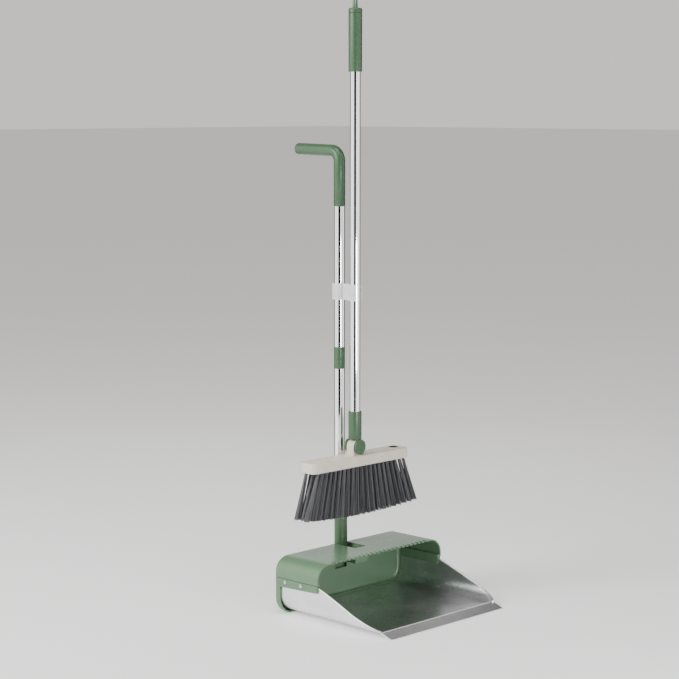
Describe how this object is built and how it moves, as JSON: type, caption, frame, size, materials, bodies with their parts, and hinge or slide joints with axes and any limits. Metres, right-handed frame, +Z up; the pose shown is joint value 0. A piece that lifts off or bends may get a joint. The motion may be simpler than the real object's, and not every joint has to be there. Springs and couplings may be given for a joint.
{
  "type": "upright dustpan and brush set",
  "caption": "Hooded stainless dustpan on a hinged pole with an L handle, and a long-handled swivel-head broom held beside the pole by a snap clip.",
  "frame": {"origin": "on the floor, in the middle of the flat foot under the back of the pan, 10 mm in front of the pole's axis", "axes": "+Z up along the poles, -Y out of the pan's mouth, +X across the pan's width to the right as seen from the mouth"},
  "size_m": [0.3642, 0.4192, 1.2166],
  "materials": {
    "green_plastic": "satin moulded plastic, muted leaf green",
    "brushed_stainless": "brushed stainless sheet",
    "polished_tube": "mirror-polished stainless tube",
    "plated_fastener": "bright zinc plate",
    "washer_rubber": "dull black rubber",
    "frosted_clip": "frosted translucent white plastic",
    "cream_plastic": "satin cream moulded plastic",
    "bristle_filament": "dark grey polymer filament",
    "loop_cord": "braided green cord"
  },
  "bodies": {
    "dustpan": {"pan_floor": "brushed_stainless", "pan_side_left": "brushed_stainless", "pan_side_right": "brushed_stainless", "rear_body": "green_plastic", "inner_panel": "green_plastic", "top_cover": "green_plastic", "side_screw_left_rear": "plated_fastener", "side_screw_left_front": "plated_fastener", "side_screw_right_rear": "plated_fastener", "side_screw_right_front": "plated_fastener", "panel_screw_1": "plated_fastener", "panel_screw_2": "plated_fastener", "panel_screw_3": "plated_fastener", "panel_screw_4": "plated_fastener", "hinge_pin": "plated_fastener", "hinge_nut": "plated_fastener", "friction_washer_left": "washer_rubber", "friction_washer_right": "washer_rubber"},
    "pan_pole": {"stem": "green_plastic", "lower_tube": "polished_tube", "tube_coupling": "green_plastic", "upper_tube": "polished_tube", "pan_handle": "green_plastic"},
    "clip": {"pole_clip": "frosted_clip"},
    "broom": {"broom_tube": "polished_tube", "grip": "green_plastic", "grip_cap": "green_plastic", "hang_loop": "loop_cord", "fork_ferrule": "green_plastic", "pivot_bolt": "plated_fastener", "pivot_nut": "plated_fastener", "ear_cap_front": "green_plastic", "ear_cap_rear": "green_plastic"},
    "brush": {"broom_head": "cream_plastic", "bristles": "bristle_filament", "knuckle_washer_front": "washer_rubber", "knuckle_washer_rear": "washer_rubber"}
  },
  "joints": [
    {"name": "pole_lean", "type": "hinge", "parent": "dustpan", "child": "pan_pole", "pos_m": [0, 0.0045, 0.096], "axis": [1, 0, 0], "range_deg": [0, 35]},
    {"name": "clip_slide", "type": "slide", "parent": "pan_pole", "child": "clip", "axis": [0, 0, 1], "range_m": [0, 0.13]},
    {"name": "broom_unclip", "type": "slide", "parent": "clip", "child": "broom", "axis": [0, -1, 0], "range_m": [0, 0.2], "deforming": ["pole_clip"]},
    {"name": "head_swivel", "type": "hinge", "parent": "broom", "child": "brush", "pos_m": [0, -0.0337, 0.3195], "axis": [0, 1, 0], "range_deg": [-90, 90], "deforming": ["bristles"]}
  ]
}
